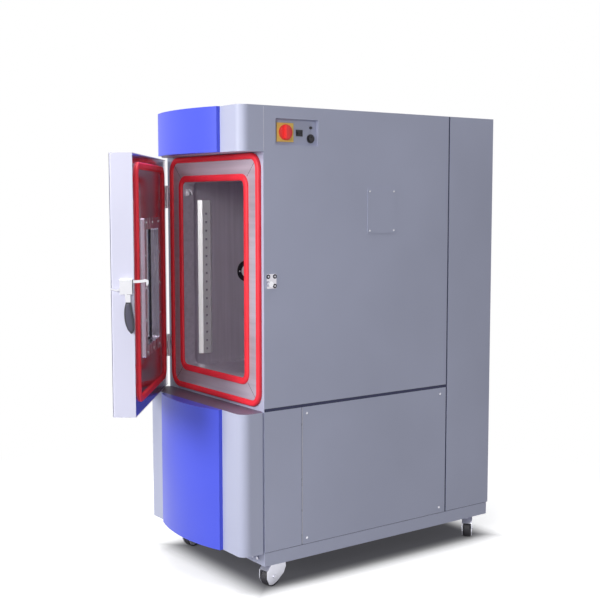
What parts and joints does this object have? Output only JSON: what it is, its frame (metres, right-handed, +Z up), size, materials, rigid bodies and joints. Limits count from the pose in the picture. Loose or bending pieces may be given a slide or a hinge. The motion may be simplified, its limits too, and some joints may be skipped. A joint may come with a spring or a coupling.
{
  "type": "environmental test chamber",
  "caption": "Floor-standing environmental test chamber on swivel casters, with a windowed hinged door shown open, double silicone seals and slotted shelf rails.",
  "frame": {"origin": "on the floor under the middle of the overall box, with the door open as shown", "axes": "+Z up, -Y to the front where the door is, +X to the side with the main switch"},
  "size_m": [0.7482, 1.6408, 1.75],
  "materials": {
    "grey_paint": "satin powder coat",
    "blue_paint": "satin powder coat",
    "frame_paint": "matt",
    "stainless": "brushed",
    "bright_metal": "polished",
    "silicone": "satin",
    "zinc": "zinc plated",
    "wheel_rubber": "satin",
    "black_plastic": "satin",
    "white_plastic": "satin",
    "yellow_plastic": "gloss",
    "red_plastic": "gloss",
    "foam": "rough",
    "glass": "clear",
    "machine_paint": "satin",
    "aluminium": "satin"
  },
  "bodies": {
    "cabinet": {"front_panel": "grey_paint", "upper_side_right": "grey_paint", "lower_side_right": "grey_paint", "service_panel_right": "grey_paint", "left_side_panel": "grey_paint", "rear_housing": "grey_paint", "rear_panel": "grey_paint", "top_panel": "grey_paint", "head_shell": "grey_paint", "fascia_shell": "grey_paint", "switch_pocket": "grey_paint", "blank_plate": "grey_paint", "head_arch_panel": "blue_paint", "fascia_arch_panel": "blue_paint", "chassis": "frame_paint", "throat_frame": "stainless", "chamber_liner": "stainless", "shelf_rails": "stainless", "air_baffle": "stainless", "strike_plate": "stainless", "hinge_leaf_body": "stainless", "heater": "stainless", "evaporator": "stainless", "strike_keeper": "bright_metal", "panel_screws": "bright_metal", "outer_gasket": "silicone", "inner_gasket": "silicone", "caster_plates": "zinc", "signal_connector": "black_plastic", "interface_socket": "black_plastic", "port_flange": "black_plastic", "sensor_bracket": "white_plastic", "switch_plate": "yellow_plastic", "insulation": "foam", "compressor": "machine_paint", "fan_motor": "machine_paint", "condenser": "aluminium"},
    "door": {"door_shell": "grey_paint", "door_arch_panel": "blue_paint", "door_liner": "stainless", "door_gasket": "silicone", "window_frame": "stainless", "window_glass": "glass", "hinge_leaf_door": "stainless", "latch_base": "bright_metal"},
    "latch_handle_body": {"latch_handle": "bright_metal"},
    "latch_hook_body": {"latch_hook": "bright_metal"},
    "port_plug_body": {"port_plug": "white_plastic"},
    "circulation_fan": {"fan_impeller": "aluminium"},
    "condenser_fan_body": {"condenser_fan": "black_plastic"},
    "main_switch": {"switch_knob": "red_plastic"},
    "reset_button_body": {"reset_button": "black_plastic"},
    "swivel_fl": {"caster_fork_fl": "zinc"},
    "wheel_fl": {"caster_wheel_fl": "wheel_rubber"},
    "swivel_fr": {"caster_fork_fr": "zinc"},
    "wheel_fr": {"caster_wheel_fr": "wheel_rubber"},
    "swivel_rl": {"caster_fork_rl": "zinc"},
    "wheel_rl": {"caster_wheel_rl": "wheel_rubber"},
    "swivel_rr": {"caster_fork_rr": "zinc"},
    "wheel_rr": {"caster_wheel_rr": "wheel_rubber"}
  },
  "joints": [
    {"name": "door_swing", "type": "hinge", "parent": "cabinet", "child": "door", "pos_m": [-0.32144, -0.32667, 1.127], "axis": [0, 0, -1], "range_deg": [-38, 72]},
    {"name": "latch_handle_turn", "type": "hinge", "parent": "door", "child": "latch_handle_body", "pos_m": [0.20228, -0.77709, 1.127], "axis": [0.788, -0.6157, 0], "range_deg": [0, 28]},
    {"name": "latch_hook_turn", "type": "hinge", "parent": "door", "child": "latch_hook_body", "pos_m": [0.20228, -0.77709, 1.127], "axis": [0.788, -0.6157, 0], "range_deg": [-10.1, 0.1]},
    {"name": "port_plug_slide", "type": "slide", "parent": "cabinet", "child": "port_plug_body", "axis": [-1, 0, 0], "range_m": [0, 0.06]},
    {"name": "circulation_fan_spin", "type": "hinge", "parent": "cabinet", "child": "circulation_fan", "pos_m": [0.02557, 0.35983, 1.132], "axis": [0, 1, 0], "continuous": true},
    {"name": "condenser_fan_spin", "type": "hinge", "parent": "cabinet", "child": "condenser_fan_body", "pos_m": [0.01456, 0.65983, 0.36], "axis": [0, 1, 0], "continuous": true},
    {"name": "main_switch_turn", "type": "hinge", "parent": "cabinet", "child": "main_switch", "pos_m": [0.34457, -0.21717, 1.66], "axis": [1, 0, 0], "range_deg": [0, 90]},
    {"name": "reset_button_press", "type": "slide", "parent": "cabinet", "child": "reset_button_body", "axis": [-1, 0, 0], "range_m": [0, 0.002], "stiffness_N_per_m": 300},
    {"name": "swivel_fl_turn", "type": "hinge", "parent": "cabinet", "child": "swivel_fl", "pos_m": [-0.27043, -0.23317, 0.086], "axis": [0, 0, 1], "continuous": true},
    {"name": "wheel_fl_roll", "type": "hinge", "parent": "swivel_fl", "child": "wheel_fl", "pos_m": [-0.26459, -0.2585, 0.0375], "axis": [0.9744, 0.225, 0], "continuous": true},
    {"name": "swivel_fr_turn", "type": "hinge", "parent": "cabinet", "child": "swivel_fr", "pos_m": [0.29957, -0.23317, 0.086], "axis": [0, 0, 1], "continuous": true},
    {"name": "wheel_fr_roll", "type": "hinge", "parent": "swivel_fr", "child": "wheel_fr", "pos_m": [0.30541, -0.2585, 0.0375], "axis": [0.9744, 0.225, 0], "continuous": true},
    {"name": "swivel_rl_turn", "type": "hinge", "parent": "cabinet", "child": "swivel_rl", "pos_m": [-0.27043, 0.76083, 0.086], "axis": [0, 0, 1], "continuous": true},
    {"name": "wheel_rl_roll", "type": "hinge", "parent": "swivel_rl", "child": "wheel_rl", "pos_m": [-0.25237, 0.74213, 0.0375], "axis": [0.7193, 0.6947, 0], "continuous": true},
    {"name": "swivel_rr_turn", "type": "hinge", "parent": "cabinet", "child": "swivel_rr", "pos_m": [0.29957, 0.76083, 0.086], "axis": [0, 0, 1], "continuous": true},
    {"name": "wheel_rr_roll", "type": "hinge", "parent": "swivel_rr", "child": "wheel_rr", "pos_m": [0.31763, 0.74213, 0.0375], "axis": [0.7193, 0.6947, 0], "continuous": true}
  ],
  "couplings": [
    {"joint": "latch_hook_turn", "follows": "latch_handle_turn", "ratio": -0.36}
  ]
}
